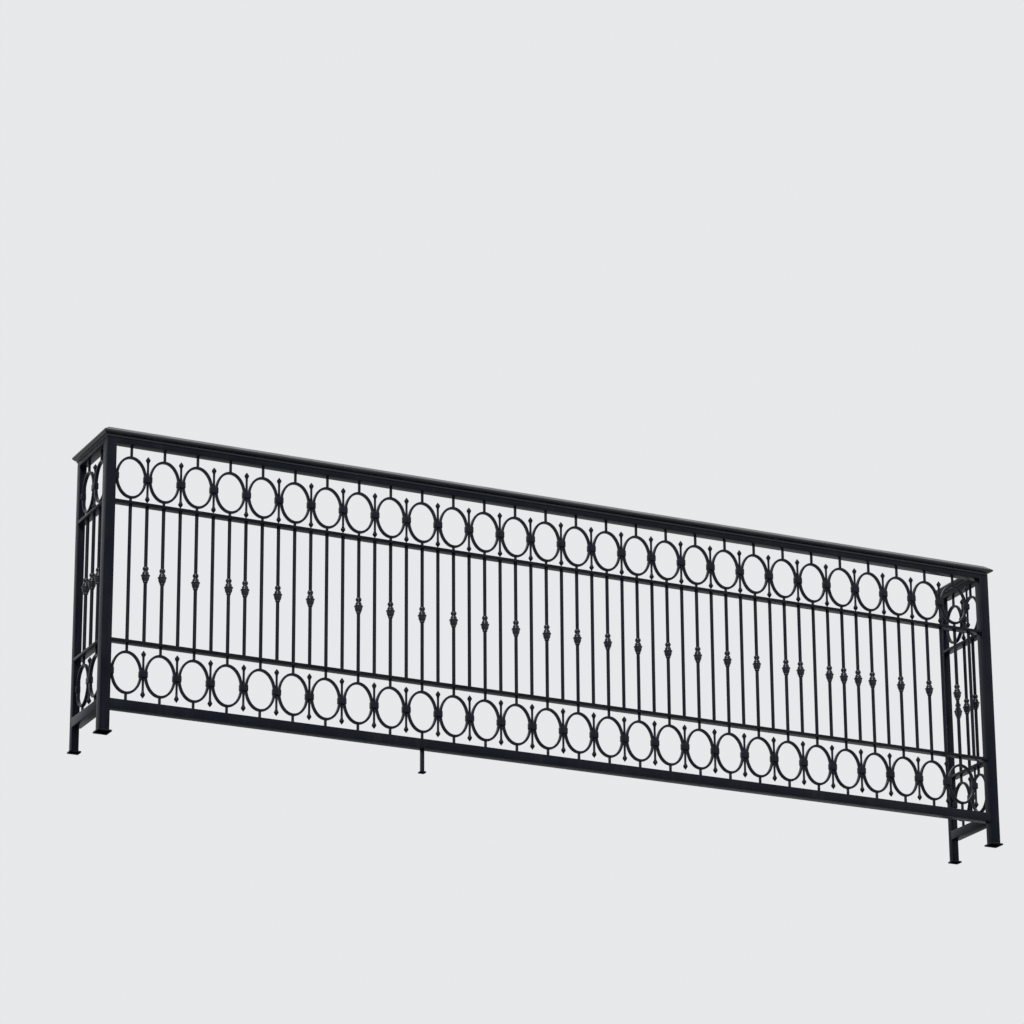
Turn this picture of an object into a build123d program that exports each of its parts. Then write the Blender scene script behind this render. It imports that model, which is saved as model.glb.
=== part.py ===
from build123d import *
import os
from math import cos, pi, sin

# Balcony railing of painted wrought iron, U-shaped in plan: one long front run and two short returns.
# Every side has the same bands. From the top: moulded handrail on a top rail, a frieze of upright oval
# rings, a band rail, slim round balusters with turned knuckles, a band rail, a second frieze of rings
# and a bottom rail.
# Millimetres, +Z up. X runs along the front, the outer side faces -Y, and the base plates stand on Z = 0.
# The origin is the bottom centre of the whole railing.

# Heights. The upper band hangs from the top and the lower one stands on the bottom rail, each by the
# height of its frieze, and the rings are placed from the band or rail under them.
HEIGHT = 1050.0
UPPER_BAND_DROP = 255.0
BOTTOM_RAIL_Z = 99.0
LOWER_BAND_RISE = 217.0
UPPER_RING_RISE = 91.0
LOWER_RING_RISE = 114.0

# Rings, the dart's shank that fills the gap between two of them, and the clear spans that they set
RING_PITCH = 117.5
SHANK = 8.5
RING_HEIGHT = 147.0
RING_THICKNESS = 8.0
RING_DEPTH = 12.0
RING_SIDES = 12
FRONT_RINGS = 28
RETURN_RINGS = 2
# The last ring of the front run stands off the right corner post by this much.
FRONT_END_GAP = 48.0

# Handrail section
HANDRAIL_WIDTH = 65.0
HANDRAIL_HEIGHT = 34.0
HANDRAIL_CROWN = 16.0
HANDRAIL_SHOULDER_WIDTH = 52.0
HANDRAIL_SHOULDER_DROP = 10.0
HANDRAIL_NOSE_DROP = 19.0
HANDRAIL_LIP_WIDTH = 60.0
HANDRAIL_LIP_DROP = 25.0

# Rails
TOP_RAIL_DEPTH = 35.0
TOP_RAIL_HEIGHT = 20.0
BAND_DEPTH = 32.0
BAND_HEIGHT = 10.0
BOTTOM_RAIL_DEPTH = 35.0
BOTTOM_RAIL_HEIGHT = 32.0

# Posts, base plates and the support leg
CORNER_POST = 35.0
WALL_POST = 25.0
PLATE_MARGIN = 7.0
PLATE_HEIGHT = 6.0
LEG_SIZE = 12.0
LEG_FOOT_SIZE = 22.0
LEG_FOOT_HEIGHT = 5.0
LEG_RING = 10

# Trim of the friezes
COLLAR_WALL = 2.5
COLLAR_HEIGHT = 22.0
STUB_SIZE = 8.0
DART_OVERHANG = 8.0
DART_TIP_LENGTH = 13.0
DART_BULB_LENGTH = 10.0
DART_BULB_WIDTH = 16.5

# Balusters and their turned knuckles
BALUSTER_DIAMETER = 12.0
BALUSTER_SIDES = 6
KNUCKLE_HEIGHT = 57.0
KNUCKLE_DISC_DIAMETER = 31.0
KNUCKLE_CUP_HEIGHT = 26.0
KNUCKLE_LIP = 6.0
KNUCKLE_NECK_DIAMETER = 17.0
KNUCKLE_BEAD_DIAMETER = 20.0
KNUCKLE_BEAD_HEIGHT = 13.0
# The front's balusters from left to right, with an x for each that carries a knuckle. Most follow the rule
# of every second bar, and both ends of the real railing depart from it.
KNUCKLE_ROW = ".xx.x.xx.x.x.." + 14 * "x." + "xx.xxxx.x.x.x."

# Worked out from the sizes above
UPPER_BAND_Z = HEIGHT - UPPER_BAND_DROP
LOWER_BAND_Z = BOTTOM_RAIL_Z + LOWER_BAND_RISE
UPPER_RING_Z = UPPER_BAND_Z + UPPER_RING_RISE
LOWER_RING_Z = BOTTOM_RAIL_Z + LOWER_RING_RISE
RING_WIDTH = RING_PITCH - SHANK
DART_LENGTH = RING_HEIGHT + 2 * DART_OVERHANG
FRONT_SPAN = FRONT_RINGS * RING_PITCH + FRONT_END_GAP
RETURN_SPAN = RETURN_RINGS * RING_PITCH
BALUSTER_PITCH = RING_PITCH / 2
HANDRAIL_BOTTOM = HEIGHT - HANDRAIL_HEIGHT
TOP_RAIL_BOTTOM = HANDRAIL_BOTTOM - TOP_RAIL_HEIGHT
CORNER_X = FRONT_SPAN / 2 + CORNER_POST / 2
TOTAL_DEPTH = HANDRAIL_WIDTH / 2 + CORNER_POST / 2 + RETURN_SPAN + WALL_POST
FRONT_Y = -TOTAL_DEPTH / 2 + HANDRAIL_WIDTH / 2
WALL_Y = TOTAL_DEPTH / 2

# A side of the railing is built along its own X axis, from the face of one post to the face of the next,
# and then placed. The returns run back from the corner posts to the wall.
SIDES = {
    "front": (FRONT_RINGS, FRONT_SPAN, Location((-FRONT_SPAN / 2, FRONT_Y, 0))),
    "left": (RETURN_RINGS, RETURN_SPAN, Location((-CORNER_X, FRONT_Y + CORNER_POST / 2, 0), (0, 0, 90))),
    "right": (RETURN_RINGS, RETURN_SPAN, Location((CORNER_X, FRONT_Y + CORNER_POST / 2, 0), (0, 0, 90))),
}


def block(length, depth, low, high, x=0.0, y=0.0):
    """A block from one height to another, centred at x and y."""
    return Pos(x, y, (low + high) / 2) * Box(length, depth, high - low)


def rail(span, depth, low, high):
    """A straight rail that fills a side's clear span."""
    return block(span, depth, low, high, span / 2)


def oval(width, height):
    """The corners of an upright oval of few sides, with a flat at each of its four ends."""
    reach = 1 / cos(pi / RING_SIDES)
    angles = [(k + 0.5) * 2 * pi / RING_SIDES for k in range(RING_SIDES)]
    return [(reach * width / 2 * cos(a), reach * height / 2 * sin(a)) for a in angles]


def ring():
    """One oval ring of flat bar, standing in the XZ plane about the origin."""
    outer = Polygon(*oval(RING_WIDTH, RING_HEIGHT), align=None)
    hole = Polygon(*oval(RING_WIDTH - 2 * RING_THICKNESS, RING_HEIGHT - 2 * RING_THICKNESS), align=None)
    return extrude(Plane.XZ * (outer - hole), RING_DEPTH / 2, both=True)


def collar(left, right):
    """A band round what lies between two distances from the middle of a joint, open above and below."""
    band = block(right - left + 2 * COLLAR_WALL, RING_DEPTH + 2 * COLLAR_WALL, -COLLAR_HEIGHT / 2,
                 COLLAR_HEIGHT / 2, (left + right) / 2)
    window = block(right - left, RING_DEPTH, -COLLAR_HEIGHT, COLLAR_HEIGHT, (left + right) / 2)
    return band - window


def post_collar():
    """Half a band at the face of a post, round the side of the first ring. It opens towards the post."""
    reach = SHANK / 2 + RING_THICKNESS
    band = block(reach + COLLAR_WALL, RING_DEPTH + 2 * COLLAR_WALL, -COLLAR_HEIGHT / 2, COLLAR_HEIGHT / 2,
                 (reach + COLLAR_WALL) / 2)
    return band - block(reach, RING_DEPTH, -COLLAR_HEIGHT, COLLAR_HEIGHT, reach / 2)


def frustum(sides, low, high, low_width, high_width):
    """A solid of flat sides about the Z axis, from one height and width over corners to the next."""
    angles = [2 * pi * k / sides for k in range(sides)]
    base, top = ([Vector(width / 2 * cos(a), width / 2 * sin(a), z) for a in angles]
                 for z, width in ((low, low_width), (high, high_width)))
    walls = [(base[k - 1], base[k], top[k], top[k - 1]) for k in range(sides)]
    return Solid(Shell([Face(Wire.make_polygon(corners)) for corners in (base, top, *walls)]))


def dart():
    """A square shank between two rings, drawn out above and below into a bulb with a point."""
    bulb = DART_LENGTH / 2 - DART_TIP_LENGTH
    neck = bulb - DART_BULB_LENGTH
    diagonal = 2 ** 0.5
    flare = Rot(0, 0, 45) * frustum(4, neck, bulb, SHANK * diagonal, DART_BULB_WIDTH * diagonal)
    half = DART_BULB_WIDTH / 2
    point = Pos(0, 0, bulb + DART_TIP_LENGTH / 2) * Rot(90, 0, 0) * Wedge(
        DART_BULB_WIDTH, DART_TIP_LENGTH, DART_BULB_WIDTH, half, half, half, half)
    tip = flare + point
    return block(SHANK, SHANK, -neck, neck) + tip + mirror(tip, about=Plane.XY)


def knuckle():
    """A turned casting threaded on a baluster: a cup below, a sharp disc, a dome and a small bead."""
    section = [
        (0, BALUSTER_DIAMETER + KNUCKLE_LIP),
        (KNUCKLE_CUP_HEIGHT, KNUCKLE_DISC_DIAMETER),
        (KNUCKLE_HEIGHT - KNUCKLE_BEAD_HEIGHT, KNUCKLE_NECK_DIAMETER),
        (KNUCKLE_HEIGHT, KNUCKLE_BEAD_DIAMETER),
    ]
    body = Part()
    for (low, low_width), (high, high_width) in zip(section, section[1:]):
        body += frustum(BALUSTER_SIDES, low, high, low_width, high_width)
    return Pos(0, 0, -KNUCKLE_HEIGHT / 2) * (body - bar(0, KNUCKLE_HEIGHT))


def bar(low, high):
    """A round bar with few sides, from one height to another."""
    return extrude(Pos(0, 0, low) * RegularPolygon(BALUSTER_DIAMETER / 2, BALUSTER_SIDES), high - low)


def baluster():
    """One bar between the band rails."""
    return bar(LOWER_BAND_Z + BAND_HEIGHT / 2, UPPER_BAND_Z - BAND_HEIGHT / 2)


def handrail_section():
    """The moulded section across the rail: a crown, sloping shoulders, a nose and an undercut."""
    half = [
        (HANDRAIL_CROWN / 2, HEIGHT),
        (HANDRAIL_SHOULDER_WIDTH / 2, HEIGHT - HANDRAIL_SHOULDER_DROP),
        (HANDRAIL_WIDTH / 2, HEIGHT - HANDRAIL_NOSE_DROP),
        (HANDRAIL_LIP_WIDTH / 2, HEIGHT - HANDRAIL_LIP_DROP),
        (TOP_RAIL_DEPTH / 2, HANDRAIL_BOTTOM),
    ]
    return half + [(-y, z) for y, z in reversed(half)]


def handrail_lengths():
    """The three lengths of the handrail, mitred where they meet over the corner posts."""
    section = Polygon(*handrail_section(), align=None)
    # Each length is cut well past the corner first, and the mitre's wedge then shares the corner out.
    reach = HANDRAIL_WIDTH
    front = Pos(0, FRONT_Y, 0) * extrude(Plane.YZ * section, CORNER_X + reach, both=True)
    back = Pos(0, WALL_Y, 0) * extrude(Plane.XZ * section, WALL_Y - FRONT_Y + reach, dir=(0, -1, 0))
    outer, inner = CORNER_X + reach, CORNER_X - reach
    wedge = Polygon((-outer, -reach), (outer, -reach), (inner, reach), (-inner, reach), align=None)
    mitre = Pos(0, FRONT_Y, 0) * extrude(wedge, 2 * HEIGHT)
    return {
        "front": front & mitre,
        "left": Pos(-CORNER_X, 0, 0) * back - mitre,
        "right": Pos(CORNER_X, 0, 0) * back - mitre,
    }


def baluster_places(count, span):
    """Distances of the balusters along a side, one under each ring and one under each joint."""
    places = [(k + 1) * BALUSTER_PITCH for k in range(2 * count)]
    return [x for x in places if x < span - BALUSTER_PITCH / 2]


def side_pieces(side, count, span):
    """The pieces of one side, in its own frame, by node name."""
    top = TOP_RAIL_BOTTOM
    band = BAND_HEIGHT / 2
    bottom_rail_top = BOTTOM_RAIL_Z + BOTTOM_RAIL_HEIGHT / 2
    middles = [(k + 0.5) * RING_PITCH for k in range(count)]
    joints = [k * RING_PITCH for k in range(1, count)]
    half_ring = RING_HEIGHT / 2
    grip = SHANK / 2 + RING_THICKNESS
    friezes = [
        (UPPER_RING_Z, UPPER_BAND_Z + band, top),
        (LOWER_RING_Z, bottom_rail_top, LOWER_BAND_Z - band),
    ]

    stubs, collars, darts = [], [], []
    for middle, low, high in friezes:
        for x in middles:
            stubs.append(block(STUB_SIZE, STUB_SIZE, middle + half_ring, high, x))
            stubs.append(block(STUB_SIZE, STUB_SIZE, low, middle - half_ring, x))
        collars.append(Pos(0, 0, middle) * post_collar())
        collars += [Pos(x, 0, middle) * collar(-grip, grip) for x in joints]
        darts += [Pos(x, 0, middle) * dart() for x in joints]
        if span > count * RING_PITCH:
            # The last ring stands free of the post, so its collar holds only the ring and the dart.
            end = count * RING_PITCH
            collars.append(Pos(end, 0, middle) * collar(-grip, SHANK / 2))
            darts.append(Pos(end, 0, middle) * dart())
        else:
            collars.append(Pos(span, 0, middle) * Rot(0, 0, 180) * post_collar())

    places = baluster_places(count, span)
    row = KNUCKLE_ROW if side == "front" else len(places) * "x"
    chosen = [x for x, mark in zip(places, row) if mark == "x"]
    knuckle_z = (UPPER_BAND_Z + LOWER_BAND_Z) / 2
    return {
        "top_rail": [rail(span, TOP_RAIL_DEPTH, top, HANDRAIL_BOTTOM)],
        "upper_band_rail": [rail(span, BAND_DEPTH, UPPER_BAND_Z - band, UPPER_BAND_Z + band)],
        "lower_band_rail": [rail(span, BAND_DEPTH, LOWER_BAND_Z - band, LOWER_BAND_Z + band)],
        "bottom_rail": [rail(span, BOTTOM_RAIL_DEPTH, bottom_rail_top - BOTTOM_RAIL_HEIGHT, bottom_rail_top)],
        "upper_rings": [Pos(x, 0, UPPER_RING_Z) * ring() for x in middles],
        "lower_rings": [Pos(x, 0, LOWER_RING_Z) * ring() for x in middles],
        "ring_stubs": stubs,
        "collars": collars,
        "darts": darts,
        "balusters": [Pos(x, 0, 0) * baluster() for x in places],
        "knuckles": [Pos(x, 0, knuckle_z) * knuckle() for x in chosen],
    }


def posts():
    """The four posts and the base plates under them."""
    pieces = {}
    for side, x in (("left", -CORNER_X), ("right", CORNER_X)):
        for kind, size, y in (("corner", CORNER_POST, FRONT_Y), ("wall", WALL_POST, WALL_Y - WALL_POST / 2)):
            plate = size + 2 * PLATE_MARGIN
            # A wall post's plate stays in front of the wall, so it is cut flush with the post's back.
            plate_depth = plate if kind == "corner" else size + PLATE_MARGIN
            plate_y = y - (plate - plate_depth) / 2
            pieces[f"{kind}_post_{side}"] = block(size, size, PLATE_HEIGHT, HANDRAIL_BOTTOM, x, y)
            pieces[f"base_plate_{kind}_{side}"] = block(plate, plate_depth, 0, PLATE_HEIGHT, x, plate_y)
    return pieces


def support_leg():
    """The slim leg that props the bottom rail under one ring, with its small foot."""
    x = -FRONT_SPAN / 2 + (LEG_RING - 0.5) * RING_PITCH
    top = BOTTOM_RAIL_Z - BOTTOM_RAIL_HEIGHT / 2
    leg = block(LEG_SIZE, LEG_SIZE, LEG_FOOT_HEIGHT, top, x, FRONT_Y)
    return leg + block(LEG_FOOT_SIZE, LEG_FOOT_SIZE, 0, LEG_FOOT_HEIGHT, x, FRONT_Y)


def build():
    """Every node of the railing by its name."""
    nodes = {f"handrail_{side}": length for side, length in handrail_lengths().items()}
    for side, (count, span, place) in SIDES.items():
        for name, solids in side_pieces(side, count, span).items():
            nodes[f"{name}_{side}"] = place * Compound(solids)
    nodes.update(posts())
    nodes["support_leg"] = support_leg()
    return nodes


os.makedirs("parts", exist_ok=True)
for node, shape in build().items():
    export_step(shape, f"parts/{node}.step")
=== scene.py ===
"""Looks of a U-shaped balcony railing of painted wrought iron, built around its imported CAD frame.

Every side is a run: a straight stretch between two posts, with its own X axis along the run, Y
across it and Z up. The sub-assemblies are modelled in a run's own axes, in metres, and then put in
place.
"""

from __future__ import annotations

import logging
import math
import random
from collections.abc import Iterable, Sequence
from dataclasses import dataclass, replace
from enum import Enum

import bmesh
import bpy
from mathutils import Matrix, Vector

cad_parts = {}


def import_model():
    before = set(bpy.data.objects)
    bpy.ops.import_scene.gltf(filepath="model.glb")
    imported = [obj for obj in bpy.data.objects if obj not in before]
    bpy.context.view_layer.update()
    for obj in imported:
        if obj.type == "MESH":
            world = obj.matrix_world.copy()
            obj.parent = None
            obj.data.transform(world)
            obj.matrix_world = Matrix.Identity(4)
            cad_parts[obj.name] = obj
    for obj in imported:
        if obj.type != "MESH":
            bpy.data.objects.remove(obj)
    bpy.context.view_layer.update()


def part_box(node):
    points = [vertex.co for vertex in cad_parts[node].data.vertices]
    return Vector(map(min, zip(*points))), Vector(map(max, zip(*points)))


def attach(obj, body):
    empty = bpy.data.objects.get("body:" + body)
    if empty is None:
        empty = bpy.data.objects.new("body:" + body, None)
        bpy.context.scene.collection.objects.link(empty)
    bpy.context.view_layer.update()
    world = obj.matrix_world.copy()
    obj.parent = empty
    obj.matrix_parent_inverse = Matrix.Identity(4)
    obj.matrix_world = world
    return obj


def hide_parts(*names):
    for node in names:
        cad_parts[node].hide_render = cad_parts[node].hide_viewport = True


LOG = logging.getLogger("balcony_railing")
MILLIMETRE = 0.001
# How near two points are merged, and how near a corner counts as on a plane
MERGE_DISTANCE = 1e-6
TOUCH_DISTANCE = 1e-5
# Angles in degrees: the most turn within a flat face, and the least turn of an arris, of a square
# arris and of an edge that is shaded as sharp
FLAT_ANGLE = 1.0
ARRIS_ANGLE = 25.0
SQUARE_ANGLE = 60.0
SHARP_ANGLE = 38.0
# How much of a face's normal lies along an axis: at least, where the face looks along it, and at
# most, where the face stands along it
FACING = 0.9
UPRIGHT = 0.5
Triple = tuple[float, float, float]
Colour = Triple
Band = tuple[float, float]
BMesh = bmesh.types.BMesh
BMEdge = bmesh.types.BMEdge


class Finish(Enum):
    """The finishes: the record's paint slot that each belongs to, and a name within it."""

    HANDRAIL = ("handrail_paint", "moulding")
    FRAME = ("frame_paint", "rails")
    BARS = ("bar_paint", "bars")
    TRIM = ("casting_paint", "trim")
    CASTINGS = ("casting_paint", "castings")

    @property
    def slot(self) -> str:
        """The record's paint slot."""
        return self.value[0]


class SideName(Enum):
    """The three sides of the railing, as the CAD nodes name them."""

    FRONT = "front"
    LEFT = "left"
    RIGHT = "right"


class Level(Enum):
    """The two friezes of rings."""

    UPPER = "upper"
    LOWER = "lower"


# Paint


@dataclass(frozen=True)
class Pattern:
    """A noise over the surface: features per metre, octaves, and its scale along each axis."""

    scale: float
    detail: float
    stretch: Triple = (1.0, 1.0, 1.0)


class Channel:
    """A node's output that takes part in Python sums, differences and products."""

    def __init__(self, sheet: PaintSheet, socket: bpy.types.NodeSocket) -> None:
        """Keeps an output socket and the sheet that it is on."""
        self.sheet = sheet
        self.socket = socket

    def _maths(self, operation: str, first: Value, second: Value) -> Channel:
        """Adds one Math node on two values or links, and gives its output."""
        made = self.sheet.node("ShaderNodeMath", {"operation": operation}, {0: first, 1: second})
        return Channel(self.sheet, made.outputs[0])

    def __add__(self, other: Value) -> Channel:
        """Sum."""
        return self._maths("ADD", self, other)

    def __radd__(self, other: Value) -> Channel:
        """Reflected sum."""
        return self._maths("ADD", other, self)

    def __sub__(self, other: Value) -> Channel:
        """Difference."""
        return self._maths("SUBTRACT", self, other)

    def __rsub__(self, other: Value) -> Channel:
        """Reflected difference."""
        return self._maths("SUBTRACT", other, self)

    def __mul__(self, other: Value) -> Channel:
        """Product."""
        return self._maths("MULTIPLY", self, other)

    def __rmul__(self, other: Value) -> Channel:
        """Reflected product."""
        return self._maths("MULTIPLY", other, self)


Value = float | Channel


class PaintSheet:
    """The node sheet of one paint."""

    def __init__(self, name: str) -> None:
        """Starts the sheet with what every paint reads: the place and the way a face looks.

        Args:
            name: the material's name.
        """
        self.material = bpy.data.materials.new(name)
        self.material.use_nodes = True
        self.tree = self.material.node_tree
        self.tree.nodes.clear()
        place = self.node("ShaderNodeTexCoord", {}, {})
        self.place = Channel(self, place.outputs["Object"])
        surface = self.node("ShaderNodeNewGeometry", {}, {})
        normal = Channel(self, surface.outputs["Normal"])
        parts = self.node("ShaderNodeSeparateXYZ", {}, {0: normal})
        self.upwards = Channel(self, parts.outputs["Z"])

    def node(
        self, kind: str, settings: dict[str, object], sockets: dict[str | int, object]
    ) -> bpy.types.Node:
        """Adds one node.

        Args:
            kind: the node's type.
            settings: its own settings, which are set first.
            sockets: values or links by the input's name or number.

        Returns:
            The node.
        """
        made = self.tree.nodes.new(kind)
        for name, value in settings.items():
            setattr(made, name, value)
        for name, value in sockets.items():
            if isinstance(value, Channel):
                self.tree.links.new(value.socket, made.inputs[name])
            else:
                made.inputs[name].default_value = value
        return made

    def noise(self, pattern: Pattern) -> Channel:
        """Noise over the surface.

        Args:
            pattern: the noise's scale, detail and stretch.

        Returns:
            The noise, from 0 to 1.
        """
        stretched = self.node(
            "ShaderNodeMapping", {}, {"Vector": self.place, "Scale": pattern.stretch}
        )
        vector = Channel(self, stretched.outputs[0])
        made = self.node(
            "ShaderNodeTexNoise",
            {},
            {"Vector": vector, "Scale": pattern.scale, "Detail": pattern.detail},
        )
        return Channel(self, made.outputs["Fac"])

    def mask(self, value: Channel, band: Band) -> Channel:
        """A mask that rises smoothly from 0 at one value to 1 at another.

        Args:
            value: what is masked.
            band: the values where the mask starts and where it is full.

        Returns:
            The mask.
        """
        low, high = band
        made = self.node(
            "ShaderNodeMapRange",
            {"interpolation_type": "SMOOTHSTEP"},
            {"Value": value, "From Min": low, "From Max": high},
        )
        return Channel(self, made.outputs[0])

    def blend(self, mask: Channel, under: Colour | Channel, over: Colour | Channel) -> Channel:
        """One colour over another.

        Args:
            mask: how far the upper colour covers.
            under: the lower colour.
            over: the upper colour.

        Returns:
            The mixed colour.
        """
        # The Mix node's sockets for colours
        factor, first, second, result = 0, 6, 7, 2
        made = self.node(
            "ShaderNodeMix",
            {"data_type": "RGBA"},
            {factor: mask, first: opaque(under), second: opaque(over)},
        )
        return Channel(self, made.outputs[result])


def opaque(colour: Colour | Channel) -> tuple[float, ...] | Channel:
    """Gives a colour its alpha.

    Args:
        colour: a colour, or a link to one.

    Returns:
        The colour with its alpha, or the link as it is.
    """
    return colour if isinstance(colour, Channel) else (*colour, 1.0)


@dataclass(frozen=True)
class SatinPaint:
    """Black satin enamel on iron, brushed on in coats, with dust on top and a little rust."""

    finish: Finish
    roughness: float
    dust: float
    rust: float
    shine: float
    brush_depth: float = 0.35 * MILLIMETRE
    colour: Colour = (0.0018, 0.0030, 0.0080)
    worn_colour: Colour = (0.0048, 0.0060, 0.0110)
    undercoat: Colour = (0.060, 0.026, 0.013)
    dust_colour: Colour = (0.20, 0.18, 0.15)

    # Noise over the surface
    patches: Pattern = Pattern(7.0, 4.0)
    brush: Pattern = Pattern(160.0, 4.0, (1.0, 1.0, 0.35))
    grit: Pattern = Pattern(900.0, 2.0)
    streaks: Pattern = Pattern(60.0, 3.0, (1.0, 1.0, 0.06))
    chips: Pattern = Pattern(210.0, 5.0)
    clusters: Pattern = Pattern(11.0, 2.0)

    # Where each mask starts and where it is full
    worn_band: Band = (0.3, 0.75)
    chip_band: Band = (0.655, 0.70)
    cluster_band: Band = (0.48, 0.62)
    streak_band: Band = (0.42, 0.75)
    washed_band: Band = (0.35, 0.7)
    upward_band: Band = (0.45, 0.95)
    settled_band: Band = (0.6, 1.25)

    # How much each noise or mask adds to the dust, to the relief and to the roughness
    streak_dust: float = 0.10
    relief: float = 0.55
    grit_relief: float = 0.25
    rust_relief: float = 0.8
    noise_middle: float = 0.5
    patch_roughness: float = 0.14
    brush_roughness: float = 0.10
    dust_roughness: float = 0.9
    rust_roughness: float = 0.8

    def material(self) -> bpy.types.Material:
        """Makes the material.

        Returns:
            The material, named for its finish.
        """
        sheet = PaintSheet("_".join(self.finish.value))
        patches, brush, grit = (sheet.noise(p) for p in (self.patches, self.brush, self.grit))
        streaks = sheet.noise(self.streaks)
        chips = sheet.mask(sheet.noise(self.chips), self.chip_band)
        clusters = sheet.mask(sheet.noise(self.clusters), self.cluster_band)
        rust = chips * clusters * self.rust
        washed = sheet.mask(streaks, self.streak_band) * sheet.mask(patches, self.washed_band)
        lying = sheet.mask(sheet.upwards, self.upward_band)
        settled = sheet.mask(grit + patches, self.settled_band)
        dust = (lying * settled + self.streak_dust * washed) * self.dust
        coat = sheet.blend(sheet.mask(patches, self.worn_band), self.colour, self.worn_colour)
        primed = sheet.blend(rust, coat, self.undercoat)
        dusted = sheet.blend(dust, primed, self.dust_colour)
        surface = sheet.node(
            "ShaderNodeBump",
            {},
            {
                "Strength": self.relief,
                "Distance": self.brush_depth,
                "Height": brush + self.grit_relief * grit - self.rust_relief * rust,
            },
        )
        roughness = self.roughness + self.patch_roughness * (patches - self.noise_middle)
        roughness += self.brush_roughness * brush
        roughness = roughness + self.dust_roughness * dust + self.rust_roughness * rust
        shader = sheet.node(
            "ShaderNodeBsdfPrincipled",
            {},
            {
                "Base Color": dusted,
                "Roughness": roughness,
                "Metallic": 0.0,
                "Specular IOR Level": self.shine,
                "Normal": Channel(sheet, surface.outputs[0]),
            },
        )
        sheet.node("ShaderNodeOutputMaterial", {}, {"Surface": Channel(sheet, shader.outputs[0])})
        return sheet.material


class PaintShop:
    """Makes each paint once and hands it out."""

    def __init__(self) -> None:
        """Mixes the paints: the handrail and castings shine most, and the rails are dustiest."""
        bars = SatinPaint(
            Finish.BARS,
            roughness=0.24,
            dust=0.20,
            rust=0.28,
            shine=0.14,
            brush_depth=0.1 * MILLIMETRE,
        )
        castings = SatinPaint(
            Finish.CASTINGS,
            roughness=0.19,
            dust=0.12,
            rust=0.2,
            shine=0.32,
            brush_depth=0.05 * MILLIMETRE,
        )
        paints = (
            SatinPaint(Finish.HANDRAIL, roughness=0.24, dust=0.25, rust=0.20, shine=0.40),
            SatinPaint(Finish.FRAME, roughness=0.30, dust=0.26, rust=0.30, shine=0.09),
            bars,
            replace(bars, finish=Finish.TRIM),
            castings,
        )
        self.materials = {paint.finish: paint.material() for paint in paints}

    def __getitem__(self, finish: Finish) -> bpy.types.Material:
        """The material of a finish."""
        return self.materials[finish]


# Shapes


def moved(x: float = 0.0, y: float = 0.0, z: float = 0.0) -> Matrix:
    """A move.

    Args:
        x: how far along X.
        y: how far along Y.
        z: how far along Z.

    Returns:
        The move.
    """
    return Matrix.Translation((x, y, z))


def place(shape: BMesh, matrix: Matrix) -> None:
    """Moves a whole shape.

    Args:
        shape: the shape.
        matrix: the move.
    """
    bmesh.ops.transform(shape, matrix=matrix, verts=shape.verts)


def outwards(shape: BMesh) -> None:
    """Merges doubles and turns every face outwards.

    Args:
        shape: the shape.
    """
    bmesh.ops.remove_doubles(shape, verts=shape.verts, dist=MERGE_DISTANCE)
    bmesh.ops.recalc_face_normals(shape, faces=shape.faces)


def soften(shape: BMesh, edges: Iterable[BMEdge], radius: float, segments: int = 2) -> None:
    """Rounds edges.

    Args:
        shape: the shape.
        edges: its edges that are rounded.
        radius: how far the rounding reaches on each side.
        segments: its number of strips.
    """
    bmesh.ops.bevel(
        shape,
        geom=list(edges),
        offset=radius,
        segments=segments,
        profile=0.5,
        affect="EDGES",
        material=-1,
        clamp_overlap=True,
    )


def sharp_edges(shape: BMesh, least: float = ARRIS_ANGLE) -> list[BMEdge]:
    """Edges that turn by more than an angle.

    Args:
        shape: the shape.
        least: the angle in degrees.

    Returns:
        Those edges.
    """
    turn = math.radians(least)
    return [e for e in shape.edges if e.is_manifold and e.calc_face_angle(0.0) > turn]


def block(low: Sequence[float], high: Sequence[float]) -> BMesh:
    """A block between two corners.

    Args:
        low: its lowest corner.
        high: its highest corner.

    Returns:
        The block.
    """
    shape = bmesh.new()
    middle = (Vector(low) + Vector(high)) / 2
    size = Vector(high) - Vector(low)
    bmesh.ops.create_cube(shape, size=1.0, matrix=Matrix.LocRotScale(middle, None, size))
    return shape


def turned(profile: Sequence[tuple[float, float]], steps: int) -> BMesh:
    """A turned solid about the Z axis.

    Args:
        profile: radius and height of each point, from the bottom up.
        steps: sides of the full turn.

    Returns:
        The closed solid.
    """
    shape = bmesh.new()
    points = [shape.verts.new((radius, 0.0, height)) for radius, height in profile]
    lines = [shape.edges.new(pair) for pair in zip(points, points[1:])]
    bmesh.ops.spin(
        shape,
        geom=points + lines,
        cent=(0, 0, 0),
        axis=(0, 0, 1),
        angle=math.tau,
        steps=steps,
        use_merge=True,
    )
    bmesh.ops.remove_doubles(shape, verts=shape.verts, dist=MERGE_DISTANCE)
    bmesh.ops.holes_fill(shape, edges=[e for e in shape.edges if e.is_boundary], sides=steps)
    outwards(shape)
    return shape


def repeated(pattern: BMesh, places: Iterable[Matrix]) -> BMesh:
    """Copies of one shape, as one mesh.

    Args:
        pattern: the shape, which is used up.
        places: where each copy goes.

    Returns:
        The copies.
    """
    source = bpy.data.meshes.new("pattern")
    pattern.to_mesh(source)
    pattern.free()
    shape = bmesh.new()
    for matrix in places:
        copy = source.copy()
        copy.transform(matrix)
        shape.from_mesh(copy)
        bpy.data.meshes.remove(copy)
    bpy.data.meshes.remove(source)
    return shape


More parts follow.
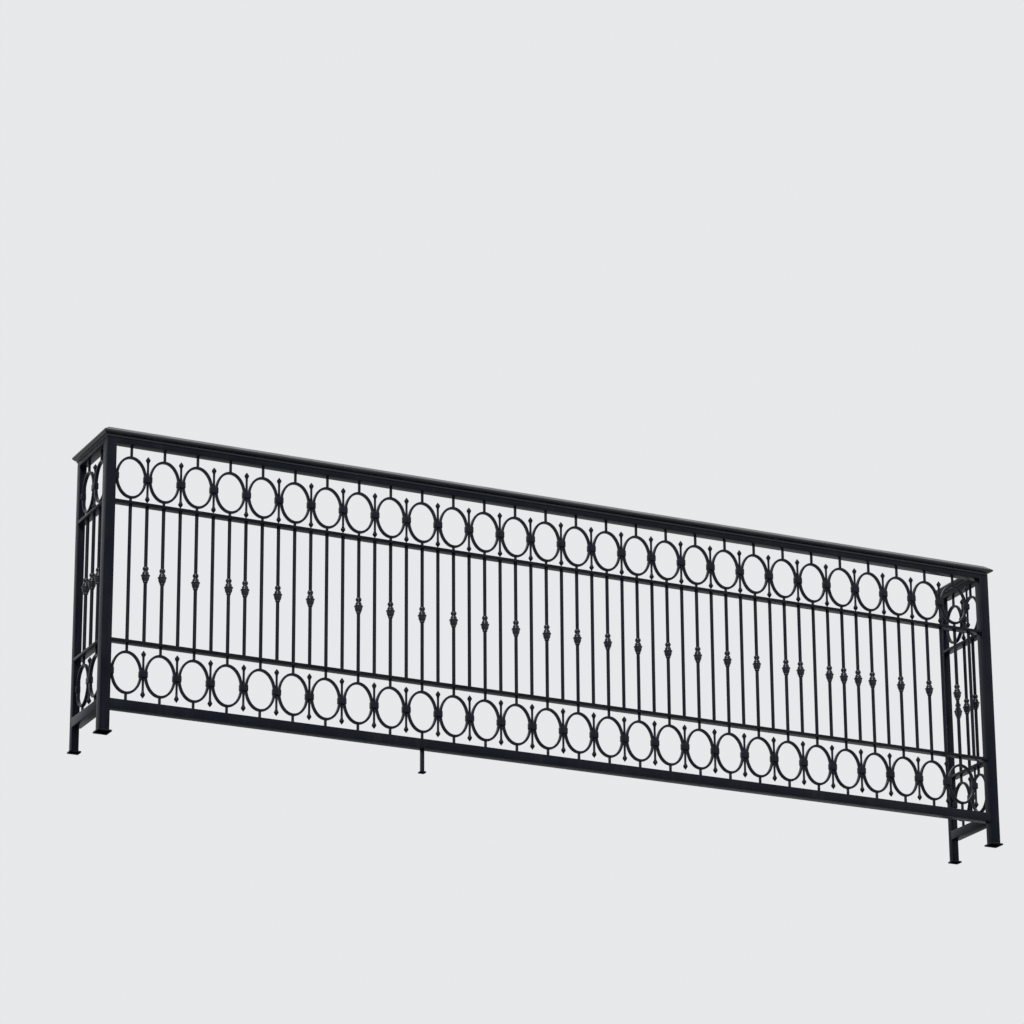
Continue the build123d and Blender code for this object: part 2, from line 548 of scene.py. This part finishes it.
def joined(shapes: Iterable[BMesh]) -> BMesh:
    """Several shapes as one mesh.

    Args:
        shapes: the shapes, which are used up.

    Returns:
        The one mesh.
    """
    shape = bmesh.new()
    for part in shapes:
        mesh = bpy.data.meshes.new("part")
        part.to_mesh(mesh)
        part.free()
        shape.from_mesh(mesh)
        bpy.data.meshes.remove(mesh)
    return shape


def copied(node: str) -> BMesh:
    """A CAD node's own solids, merged from loose triangles into whole flat faces.

    Args:
        node: the node's name.

    Returns:
        Its shape.
    """
    shape = bmesh.new()
    shape.from_mesh(bpy.data.objects[node].data)
    bmesh.ops.remove_doubles(shape, verts=shape.verts, dist=MERGE_DISTANCE)
    bmesh.ops.dissolve_limit(
        shape,
        angle_limit=math.radians(FLAT_ANGLE),
        verts=shape.verts,
        edges=shape.edges,
        delimit=set(),
    )
    return shape


# Runs


@dataclass(frozen=True)
class Run:
    """One side of the railing, from the face of one post to the face of the next."""

    side: SideName
    matrix: Matrix
    length: float

    @classmethod
    def of(cls, side: SideName) -> Run:
        """Reads a run from the CAD top rail, which fills it.

        Args:
            side: which side.

        Returns:
            The run.
        """
        low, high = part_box(f"top_rail_{side.value}")
        middle = (low + high) / 2
        if side is SideName.FRONT:
            return cls(side, moved(low.x, middle.y), high.x - low.x)
        turn = Matrix.Rotation(math.pi / 2, 4, "Z")
        return cls(side, moved(middle.x, low.y) @ turn, high.y - low.y)

    def node(self, kind: str) -> str:
        """The full name of the side's CAD node of a kind, such as balusters."""
        return f"{kind}_{self.side.value}"

    def span(self, kind: str) -> Band:
        """The lowest and highest Z of the side's CAD node of a kind."""
        low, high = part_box(self.node(kind))
        return low.z, high.z

    def width(self, kind: str) -> float:
        """How far one of the side's CAD nodes reaches across the run.

        Args:
            kind: the node's name without its side.

        Returns:
            The distance.
        """
        low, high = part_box(self.node(kind))
        size = high - low
        return size.y if self.side is SideName.FRONT else size.x


class Assembly:
    """Something that turns shapes into finished pieces of the railing."""

    def __init__(self, paints: PaintShop) -> None:
        """Keeps the paints that the pieces are dressed in."""
        self.paints = paints

    def dress(self, name: str, shape: BMesh, finish: Finish, nodes: Sequence[str] = ()) -> None:
        """Makes a piece from a shape that is in place, paints it and hangs it on the frame.

        Args:
            name: the piece's name.
            shape: its shape, which is used up.
            finish: its paint.
            nodes: the CAD nodes that it stands for.
        """
        mesh = bpy.data.meshes.new(name)
        shape.to_mesh(mesh)
        shape.free()
        mesh.shade_smooth()
        mesh.set_sharp_from_angle(angle=math.radians(SHARP_ANGLE))
        mesh.materials.append(self.paints[finish])
        piece = bpy.data.objects.new(name, mesh)
        bpy.context.scene.collection.objects.link(piece)
        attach(piece, "root")
        if nodes:
            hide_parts(*nodes)
        LOG.info("%s: %d faces", name, len(mesh.polygons))


@dataclass
class Handrail(Assembly):
    """The moulded handrail: crown, straight slopes, blunt nose, undercut and a shadow gap."""

    paints: PaintShop
    post_half: float = 17.5 * MILLIMETRE
    crown_half: float = 8.0 * MILLIMETRE
    # Distance from the middle and drop below the crown, from the nose down to the shadow gap
    nose_top: Band = (32.5 * MILLIMETRE, 17.8 * MILLIMETRE)
    nose_foot: Band = (32.5 * MILLIMETRE, 23.2 * MILLIMETRE)
    undercut: Band = (22.5 * MILLIMETRE, 28.2 * MILLIMETRE)
    recess: Band = (16.5 * MILLIMETRE, 28.8 * MILLIMETRE)
    rounding: float = 1.7 * MILLIMETRE
    rounding_steps: int = 4
    end_rounding: float = 0.5 * MILLIMETRE
    # The blank runs past the mitre by this much of what the mitre needs.
    overrun: float = 1.2

    def section(self, low: float, high: float, start: float) -> BMesh:
        """The section as one face across the run.

        Args:
            low: Z of the rail's underside.
            high: Z of the crown.
            start: where along the run the face stands.

        Returns:
            The face, with its corners rounded.
        """
        corners_down = (self.nose_top, self.nose_foot, self.undercut, self.recess)
        half = [
            (self.crown_half, high),
            *((y, high - drop) for y, drop in corners_down),
            (self.recess[0], low),
        ]
        shape = bmesh.new()
        outline = half + [(-y, z) for y, z in reversed(half)]
        corners = [shape.verts.new((start, y, z)) for y, z in outline]
        shape.faces.new(corners)
        rounded = [v for v in corners if v.co.z > low + MILLIMETRE]
        bmesh.ops.bevel(
            shape,
            geom=rounded,
            offset=self.rounding,
            segments=self.rounding_steps,
            profile=0.5,
            affect="VERTICES",
            material=-1,
            clamp_overlap=True,
        )
        return shape

    def build(self, run: Run) -> None:
        """Makes the handrail of one run, mitred at each corner post.

        Args:
            run: the run.
        """
        low, high = run.span("handrail")
        reach = (self.nose_top[0] + self.post_half) * self.overrun
        front = run.side is SideName.FRONT
        far = run.length + reach if front else self.wall_end(run)
        shape = self.section(low, high, -reach)
        swept = bmesh.ops.extrude_face_region(shape, geom=list(shape.faces))
        tip = [v for v in swept["geom"] if isinstance(v, bmesh.types.BMVert)]
        bmesh.ops.translate(shape, vec=(far + reach, 0, 0), verts=tip)
        outwards(shape)
        lean = -1.0 if run.side is SideName.LEFT else 1.0
        cuts = [(Vector((-self.post_half, 0, 0)), Vector((-1.0, lean, 0)))]
        if front:
            cuts.append((Vector((run.length + self.post_half, 0, 0)), Vector((1.0, 1.0, 0))))
        for point, normal in cuts:
            self.mitre(shape, point, normal)
        ends = [e for e in shape.edges if e.is_manifold and self.is_end(e)]
        soften(shape, ends, self.end_rounding, 1)
        place(shape, run.matrix)
        self.dress(f"{run.side.value}_handrail", shape, Finish.HANDRAIL, [run.node("handrail")])

    @staticmethod
    def wall_end(run: Run) -> float:
        """The distance along a return at which its handrail meets the wall."""
        _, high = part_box(run.node("handrail"))
        return (run.matrix.inverted() @ high).x

    @staticmethod
    def is_end(edge: BMEdge) -> bool:
        """Whether an edge bounds one of the cut ends, which have more corners than any side.

        Args:
            edge: the edge, between two faces.

        Returns:
            Whether one face is a cut end and the other isn't.
        """
        most_side_corners = 8
        many = sorted(len(f.verts) > most_side_corners for f in edge.link_faces)
        return many == [False, True]

    @staticmethod
    def mitre(shape: BMesh, point: Vector, normal: Vector) -> None:
        """Cuts a shape and closes the cut.

        Args:
            shape: the shape.
            point: a point on the cut.
            normal: the side that goes.
        """
        geometry = list(shape.verts) + list(shape.edges) + list(shape.faces)
        bmesh.ops.bisect_plane(
            shape, geom=geometry, plane_co=point, plane_no=normal, clear_outer=True
        )
        bmesh.ops.holes_fill(shape, edges=[e for e in shape.edges if e.is_boundary], sides=0)
        outwards(shape)


@dataclass
class Framework(Assembly):
    """Rails, posts, base plates and the support leg, with the fillet welds between them."""

    paints: PaintShop
    arris: float = 1.2 * MILLIMETRE
    weld_leg: float = 3.5 * MILLIMETRE
    weld_inset: float = 1.5 * MILLIMETRE
    welded_rails: tuple[str, ...] = ("upper_band_rail", "lower_band_rail", "bottom_rail")
    # A bead's ripples: their pitch and fewest number, and shares of the weld's leg
    bead_pitch: float = 2.2 * MILLIMETRE
    fewest_ripples: int = 4
    narrowest: float = 0.62
    widening: float = 0.16
    bead_tip: float = 0.2
    # How much of a ripple's width is left between it and the next
    waist: float = 0.9
    bead_sides: int = 8

    def plain(self, name: str, node: str) -> None:
        """Dresses a CAD node's own solids with softened edges.

        Args:
            name: the piece's name.
            node: the CAD node.
        """
        shape = copied(node)
        soften(shape, sharp_edges(shape), self.arris)
        self.dress(name, shape, Finish.FRAME, [node])

    def bead(self, start: Vector, end: Vector, seed: int) -> BMesh:
        """A weld bead: a thin round rod with the ripples that a welder leaves.

        Args:
            start: one end.
            end: the other end.
            seed: seed of the ripples.

        Returns:
            The bead.
        """
        line = end - start
        count = max(self.fewest_ripples, round(line.length / self.bead_pitch))
        draw = random.Random(seed)
        shares = [self.narrowest + self.widening * draw.random() for _ in range(count)]
        tip = self.bead_tip * self.weld_leg
        profile = [(tip, 0.0)]
        for k, share in enumerate(shares):
            width = self.weld_leg * share
            height = line.length * (k + 0.5) / count
            profile.append((width, height))
            profile.append((self.waist * width, height + 0.5 * line.length / count))
        profile[-1] = (tip, line.length)
        shape = turned(profile, self.bead_sides)
        turn = line.to_track_quat("Z", "Y").to_matrix().to_4x4()
        place(shape, Matrix.Translation(start) @ turn)
        return shape

    def rail_welds(self, run: Run) -> list[BMesh]:
        """Beads above and below each rail's ends, across the face of the post.

        Args:
            run: the run.

        Returns:
            The beads, in the run's own axes.
        """
        beads = []
        for kind in self.welded_rails:
            half = run.width(kind) / 2 - self.weld_inset - self.weld_leg
            for x in (0.0, run.length):
                for z in run.span(kind):
                    near, far = Vector((x, -half, z)), Vector((x, half, z))
                    beads.append(self.bead(near, far, len(beads)))
        return beads

    def foot_welds(self, post: str, plate: str) -> list[BMesh]:
        """Beads round a post where it stands on its plate.

        Args:
            post: the post's node.
            plate: the plate's node.

        Returns:
            The beads, in place.
        """
        low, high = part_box(post)
        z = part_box(plate)[1].z
        inset = self.weld_inset
        free_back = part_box(plate)[1].y > high.y + inset
        corners = [(low.x, low.y), (high.x, low.y), (high.x, high.y), (low.x, high.y)]
        beads = []
        for k, corner in enumerate(corners):
            following = corners[(k + 1) % len(corners)]
            is_back = corner[1] == following[1] == high.y
            if is_back and not free_back:
                continue
            start, end = Vector((*corner, z)), Vector((*following, z))
            along = (end - start).normalized() * inset
            beads.append(self.bead(start + along, end - along, k))
        return beads

    def build(self, runs: Sequence[Run]) -> None:
        """Makes every rail, post, plate and weld.

        Args:
            runs: the three runs.
        """
        for run in runs:
            for kind in ("top_rail", *self.welded_rails):
                self.plain(f"{run.side.value}_{kind}", run.node(kind))
            welds = joined(self.rail_welds(run))
            place(welds, run.matrix)
            self.dress(f"{run.side.value}_rail_welds", welds, Finish.FRAME)
        for side in (SideName.LEFT.value, SideName.RIGHT.value):
            for kind in ("corner", "wall"):
                post, plate = f"{kind}_post_{side}", f"base_plate_{kind}_{side}"
                self.plain(f"{side}_{kind}_post", post)
                self.plain(f"{side}_{kind}_base_plate", plate)
                welds = joined(self.foot_welds(post, plate))
                self.dress(f"{side}_{kind}_foot_welds", welds, Finish.FRAME)
        self.plain("front_support_leg", "support_leg")


@dataclass
class Friezes(Assembly):
    """Both friezes of a run: oval rings of flat bar with their stubs, collars and darts."""

    paints: PaintShop
    pitch: float = 117.5 * MILLIMETRE
    # A run that is longer than its rings by more than this has a free end.
    least_gap: float = 2.0 * MILLIMETRE
    ring_width: float = 109.0 * MILLIMETRE
    ring_thickness: float = 8.0 * MILLIMETRE
    ring_segments: int = 44
    ring_arris: float = 1.7 * MILLIMETRE
    ring_arris_steps: int = 3
    stub_arris: float = 1.0 * MILLIMETRE
    strap: float = 2.5 * MILLIMETRE
    strap_round: float = 2.1 * MILLIMETRE
    strap_round_steps: int = 4
    collar_height: float = 22.0 * MILLIMETRE
    collar_corner: float = 3.2 * MILLIMETRE
    collar_corner_steps: int = 3
    dart_point: float = 0.4 * MILLIMETRE
    dart_steps: int = 14

    @property
    def shank(self) -> float:
        """The width of a dart's shank, which fills the gap between two rings."""
        return self.pitch - self.ring_width

    def rings_per_run(self, run: Run) -> int:
        """How many rings a run has, from its length."""
        slack = 1e-3
        return int(run.length / self.pitch + slack)

    def ring(self, height: float, depth: float) -> BMesh:
        """One ring, of flat bar bent to an upright oval and closed.

        Args:
            height: its outer height.
            depth: the bar's width, across the run.

        Returns:
            The ring, upright about the origin.
        """
        shape = bmesh.new()
        bmesh.ops.create_circle(shape, cap_ends=True, radius=0.5, segments=self.ring_segments)
        place(shape, Matrix.Diagonal((self.ring_width, height, 1.0, 1.0)))
        inset = bmesh.ops.inset_region(
            shape,
            faces=list(shape.faces),
            thickness=self.ring_thickness,
            use_boundary=True,
            use_even_offset=True,
        )
        band = set(inset["faces"])
        bmesh.ops.delete(shape, geom=[f for f in shape.faces if f not in band], context="FACES")
        swept = bmesh.ops.extrude_face_region(shape, geom=list(shape.faces))
        top = [v for v in swept["geom"] if isinstance(v, bmesh.types.BMVert)]
        bmesh.ops.translate(shape, vec=(0, 0, depth), verts=top)
        place(shape, Matrix.Rotation(math.pi / 2, 4, "X") @ moved(z=-depth / 2))
        outwards(shape)
        soften(shape, sharp_edges(shape, SQUARE_ANGLE), self.ring_arris, self.ring_arris_steps)
        return shape

    def dart(self, length: float, bulb_width: float) -> BMesh:
        """One dart: a slim shank, swelling above and below into a bulb that ends in a point.

        Args:
            length: from point to point.
            bulb_width: the bulb's diameter.

        Returns:
            The dart, upright about the origin.
        """
        half, thin, fat = length / 2, self.shank / 2, bulb_width / 2
        # Distances back from the point, and radii between the shank's and the bulb's
        bulb = (
            (0.0 * MILLIMETRE, self.dart_point),
            (2.0 * MILLIMETRE, 0.22 * fat),
            (5.0 * MILLIMETRE, 0.48 * fat),
            (8.5 * MILLIMETRE, 0.80 * fat),
            (11.5 * MILLIMETRE, 0.98 * fat),
            (13.0 * MILLIMETRE, fat),
            (14.8 * MILLIMETRE, 0.95 * fat),
            (17.5 * MILLIMETRE, thin + 0.55 * (fat - thin)),
            (20.5 * MILLIMETRE, thin + 0.18 * (fat - thin)),
            (24.0 * MILLIMETRE, 0.98 * thin),
            (40.0 * MILLIMETRE, 0.92 * thin),
            (62.0 * MILLIMETRE, thin),
        )
        profile = [(r, back - half) for back, r in bulb]
        profile += [(r, half - back) for back, r in reversed(bulb)]
        return turned(profile, self.dart_steps)

    def collar(self, left: float, right: float, depth: float, opens: float = 0.0) -> BMesh:
        """A strap of flat bar wrapped round what lies between two distances from a joint.

        Args:
            left: inner face on the left.
            right: inner face on the right.
            depth: inner depth across the run.
            opens: 0 where the strap goes right round, or the sign of X of the side that is open.

        Returns:
            The collar, at mid height about the origin.
        """
        wall, half = self.strap, self.collar_height / 2
        across = depth / 2 + wall
        low = left - (0.0 if opens < 0 else wall)
        high = right + (0.0 if opens > 0 else wall)
        shape = block((low, -across, -half), (high, across, half))
        upright = [e for e in shape.edges if abs(e.verts[0].co.z - e.verts[1].co.z) > half]
        if opens:
            centre = (left + right) / 2 * opens
            upright = [e for e in upright if e.verts[0].co.x * opens < centre]
        soften(shape, upright, self.collar_corner, self.collar_corner_steps)
        gone = [f for f in shape.faces if abs(f.normal.z) > FACING]
        if opens:
            gone += [f for f in shape.faces if f.normal.x * opens > FACING]
        bmesh.ops.delete(shape, geom=gone, context="FACES")
        bmesh.ops.recalc_face_normals(shape, faces=shape.faces)
        middle = Vector(((left + right) / 2, 0.0))
        if sum((f.calc_center_median().xy - middle).dot(f.normal.xy) for f in shape.faces) < 0:
            bmesh.ops.reverse_faces(shape, faces=shape.faces)
        bmesh.ops.solidify(shape, geom=list(shape.faces), thickness=wall)
        outwards(shape)
        rims = [
            e
            for e in sharp_edges(shape, SQUARE_ANGLE)
            if all(abs(abs(v.co.z) - half) < TOUCH_DISTANCE for v in e.verts)
        ]
        outer = [e for e in rims if self.faces_out(e, middle)]
        soften(shape, outer, self.strap_round, self.strap_round_steps)
        return shape

    @staticmethod
    def faces_out(edge: BMEdge, middle: Vector) -> bool:
        """Whether an edge bounds an upright face that looks away from the collar's middle."""
        upright = [f for f in edge.link_faces if abs(f.normal.z) < UPRIGHT]
        return any((f.calc_center_median().xy - middle).dot(f.normal.xy) > 0 for f in upright)

    def build(self, run: Run) -> None:
        """Makes the two friezes of one run.

        Args:
            run: the run.
        """
        count = self.rings_per_run(run)
        depth = run.width("upper_rings")
        side = run.side.value
        middles = [(k + 0.5) * self.pitch for k in range(count)]
        heights = []
        for level in Level:
            kind = f"{level.value}_rings"
            low, high = run.span(kind)
            middle = (low + high) / 2
            heights.append(middle)
            rings = repeated(self.ring(high - low, depth), [moved(x, 0, middle) for x in middles])
            place(rings, run.matrix)
            self.dress(f"{side}_{kind}", rings, Finish.BARS, [run.node(kind)])
        stubs = copied(run.node("ring_stubs"))
        soften(stubs, sharp_edges(stubs), self.stub_arris, 1)
        self.dress(f"{side}_ring_stubs", stubs, Finish.BARS, [run.node("ring_stubs")])

        grip, last = self.shank / 2 + self.ring_thickness, count * self.pitch
        joints = [moved(k * self.pitch, 0, z) for k in range(1, count) for z in heights]
        collars = [
            repeated(self.collar(-grip, grip, depth), joints),
            repeated(self.collar(0.0, grip, depth, -1.0), [moved(z=z) for z in heights]),
        ]
        if run.length - last > self.least_gap:
            end = [moved(last, 0, z) for z in heights]
            collars.append(repeated(self.collar(-grip, self.shank / 2, depth), end))
            joints += end
        else:
            end = [moved(run.length, 0, z) for z in heights]
            collars.append(repeated(self.collar(-grip, 0.0, depth, 1.0), end))
        straps = joined(collars)
        place(straps, run.matrix)
        self.dress(f"{side}_collars", straps, Finish.TRIM, [run.node("collars")])

        low, high = run.span("darts")
        length = (high - low) - (max(heights) - min(heights))
        darts = repeated(self.dart(length, run.width("darts")), joints)
        place(darts, run.matrix)
        self.dress(f"{side}_darts", darts, Finish.TRIM, [run.node("darts")])


@dataclass
class Balusters(Assembly):
    """The slim round bars between the band rails, and the turned castings on some of them."""

    paints: PaintShop
    pitch: float = 58.75 * MILLIMETRE
    bar_steps: int = 16
    cad_sides: int = 6
    knuckle_steps: int = 22
    # Radius and height of the casting's profile in millimetres, from its foot up: cup, disc, dome,
    # neck and bead
    profile: tuple[tuple[float, float], ...] = (
        (6.4, 0.0),
        (7.8, 0.5),
        (8.6, 2.2),
        (8.0, 4.0),
        (8.4, 5.4),
        (10.4, 8.6),
        (12.2, 13.2),
        (13.0, 18.0),
        (13.1, 22.4),
        (14.9, 23.6),
        (15.5, 25.2),
        (15.0, 26.9),
        (11.4, 28.2),
        (10.9, 29.4),
        (11.3, 32.0),
        (10.8, 35.4),
        (9.4, 38.6),
        (7.2, 40.8),
        (6.9, 42.4),
        (8.6, 44.0),
        (10.0, 46.9),
        (10.3, 49.6),
        (9.6, 52.8),
        (7.9, 55.6),
        (6.2, 57.0),
    )

    def centres(self, node: str, run: Run) -> list[float]:
        """Distances along the run of the separate solids of a CAD node.

        Args:
            node: the node's name.
            run: its run.

        Returns:
            One distance for each, on the bars' own spacing.
        """
        back = run.matrix.inverted()
        found = {round((back @ v.co).x / self.pitch) for v in bpy.data.objects[node].data.vertices}
        return [k * self.pitch for k in sorted(found)]

    def build(self, run: Run) -> None:
        """Makes the bars and castings of one run.

        Args:
            run: the run.
        """
        low, high = run.span("balusters")
        # The CAD bar's flats face across the run, and the round bar reaches its corners.
        radius = run.width("balusters") / 2 / math.cos(math.pi / self.cad_sides)
        bar = turned([(radius, low), (radius, high)], self.bar_steps)
        places = [moved(x) for x in self.centres(run.node("balusters"), run)]
        bars = repeated(bar, places)
        place(bars, run.matrix)
        side = run.side.value
        self.dress(f"{side}_balusters", bars, Finish.BARS, [run.node("balusters")])

        foot, top = run.span("knuckles")
        scale = (top - foot) / self.profile[-1][1]
        profile = [(r * MILLIMETRE, foot + z * scale) for r, z in self.profile]
        casting = turned(profile, self.knuckle_steps)
        places = [moved(x) for x in self.centres(run.node("knuckles"), run)]
        castings = repeated(casting, places)
        place(castings, run.matrix)
        self.dress(f"{side}_knuckles", castings, Finish.CASTINGS, [run.node("knuckles")])


# Studio


@dataclass(frozen=True)
class Lamp:
    """A far lamp, which lights the floor evenly: its spread in degrees and its strength."""

    name: str
    spot: Triple
    spread: float
    strength: float

    def hang(self) -> None:
        """Puts the lamp in the scene, aimed at the middle of the railing."""
        data = bpy.data.lights.new(self.name, "SUN")
        data.angle, data.energy = math.radians(self.spread), self.strength
        lamp = bpy.data.objects.new(self.name, data)
        lamp.location = self.spot
        lamp.rotation_euler = Vector(self.spot).to_track_quat("Z", "Y").to_euler()
        bpy.context.scene.collection.objects.link(lamp)


@dataclass
class Studio:
    """The pale floor, the lamps, the pale surroundings and the camera."""

    floor_colour: Colour = (0.66, 0.66, 0.65)
    backdrop_colour: Colour = (0.80, 0.81, 0.82)
    sky_strength: float = 0.38
    floor_size: float = 60.0
    floor_drop: float = 0.5 * MILLIMETRE
    lamps: tuple[Lamp, ...] = (
        Lamp("key", (-4.0, -5.0, 5.5), 8.0, 3.0),
        Lamp("fill", (5.0, -5.0, 2.5), 70.0, 0.30),
        Lamp("back", (2.0, 5.0, 4.5), 60.0, 0.45),
    )
    # The camera, fitted to the photograph: the sensor's width in millimetres, the picture's width
    # and the focal length in pixels, distances in metres and angles in degrees
    sensor_width: float = 36.0
    clip_end: float = 200.0
    image_width: float = 1024.0
    focal_pixels: float = 4142.0
    spot: Triple = (-6.1235, -12.1917, -3.836)
    yaw: float = 26.096
    pitch: float = 19.6995
    roll: float = -0.426

    def floor(self) -> None:
        """Lays the floor. It is clear from below, as the camera stands lower than the railing."""
        mesh = bpy.data.meshes.new("floor")
        shape = bmesh.new()
        bmesh.ops.create_grid(shape, x_segments=1, y_segments=1, size=self.floor_size / 2)
        place(shape, moved(z=-self.floor_drop))
        shape.to_mesh(mesh)
        shape.free()
        sheet = PaintSheet("pale_floor")
        pale = sheet.node("ShaderNodeBsdfDiffuse", {}, {"Color": opaque(self.floor_colour)})
        clear = sheet.node("ShaderNodeBsdfTransparent", {}, {})
        below = sheet.node("ShaderNodeNewGeometry", {}, {})
        seen = sheet.node(
            "ShaderNodeMixShader",
            {},
            {
                0: Channel(sheet, below.outputs["Backfacing"]),
                1: Channel(sheet, pale.outputs[0]),
                2: Channel(sheet, clear.outputs[0]),
            },
        )
        sheet.node("ShaderNodeOutputMaterial", {}, {"Surface": Channel(sheet, seen.outputs[0])})
        mesh.materials.append(sheet.material)
        floor = bpy.data.objects.new("floor", mesh)
        bpy.context.scene.collection.objects.link(floor)

    def surroundings(self) -> None:
        """A pale world that the camera and reflections see, and a softer one that lights."""
        world = bpy.data.worlds.new("studio")
        bpy.context.scene.world = world
        world.use_nodes = True
        tree = world.node_tree
        tree.nodes.clear()
        rays = tree.nodes.new("ShaderNodeLightPath")
        seen = rays.outputs["Is Camera Ray"]
        for kind in ("Is Glossy Ray", "Is Transmission Ray"):
            either = tree.nodes.new("ShaderNodeMath")
            either.operation = "MAXIMUM"
            tree.links.new(seen, either.inputs[0])
            tree.links.new(rays.outputs[kind], either.inputs[1])
            seen = either.outputs[0]
        mix = tree.nodes.new("ShaderNodeMixShader")
        tree.links.new(seen, mix.inputs[0])
        for slot, strength in ((1, self.sky_strength), (2, 1.0)):
            light = tree.nodes.new("ShaderNodeBackground")
            light.inputs["Color"].default_value = opaque(self.backdrop_colour)
            light.inputs["Strength"].default_value = strength
            tree.links.new(light.outputs[0], mix.inputs[slot])
        end = tree.nodes.new("ShaderNodeOutputWorld")
        tree.links.new(mix.outputs[0], end.inputs["Surface"])

    def camera(self) -> None:
        """Stands the camera where the photograph was taken from."""
        yaw, pitch, roll = (math.radians(a) for a in (self.yaw, self.pitch, self.roll))
        level = math.cos(pitch)
        ahead = Vector((math.sin(yaw) * level, math.cos(yaw) * level, math.sin(pitch)))
        right = Vector((math.cos(yaw), -math.sin(yaw), 0.0))
        up = right.cross(ahead)
        across = right * math.cos(roll) + up * math.sin(roll)
        upright = up * math.cos(roll) - right * math.sin(roll)
        data = bpy.data.cameras.new("camera")
        data.sensor_width = self.sensor_width
        data.lens = self.focal_pixels / self.image_width * data.sensor_width
        data.clip_end = self.clip_end
        camera = bpy.data.objects.new("camera", data)
        turn = Matrix((across, upright, -ahead)).transposed().to_4x4()
        camera.matrix_world = Matrix.Translation(self.spot) @ turn
        bpy.context.scene.collection.objects.link(camera)
        bpy.context.scene.camera = camera

    def build(self) -> None:
        """Builds the studio."""
        self.floor()
        self.surroundings()
        for lamp in self.lamps:
            lamp.hang()
        self.camera()
        bpy.context.scene.view_settings.view_transform = "Standard"


def main() -> None:
    """Builds the railing's pieces around the frame, and the studio."""
    logging.basicConfig(level=logging.INFO, format="%(name)s %(message)s")
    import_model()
    paints = PaintShop()
    runs = [Run.of(side) for side in SideName]
    handrail, friezes, balusters = Handrail(paints), Friezes(paints), Balusters(paints)
    for run in runs:
        handrail.build(run)
        friezes.build(run)
        balusters.build(run)
    Framework(paints).build(runs)
    Studio().build()


if __name__ == "__main__":
    main()
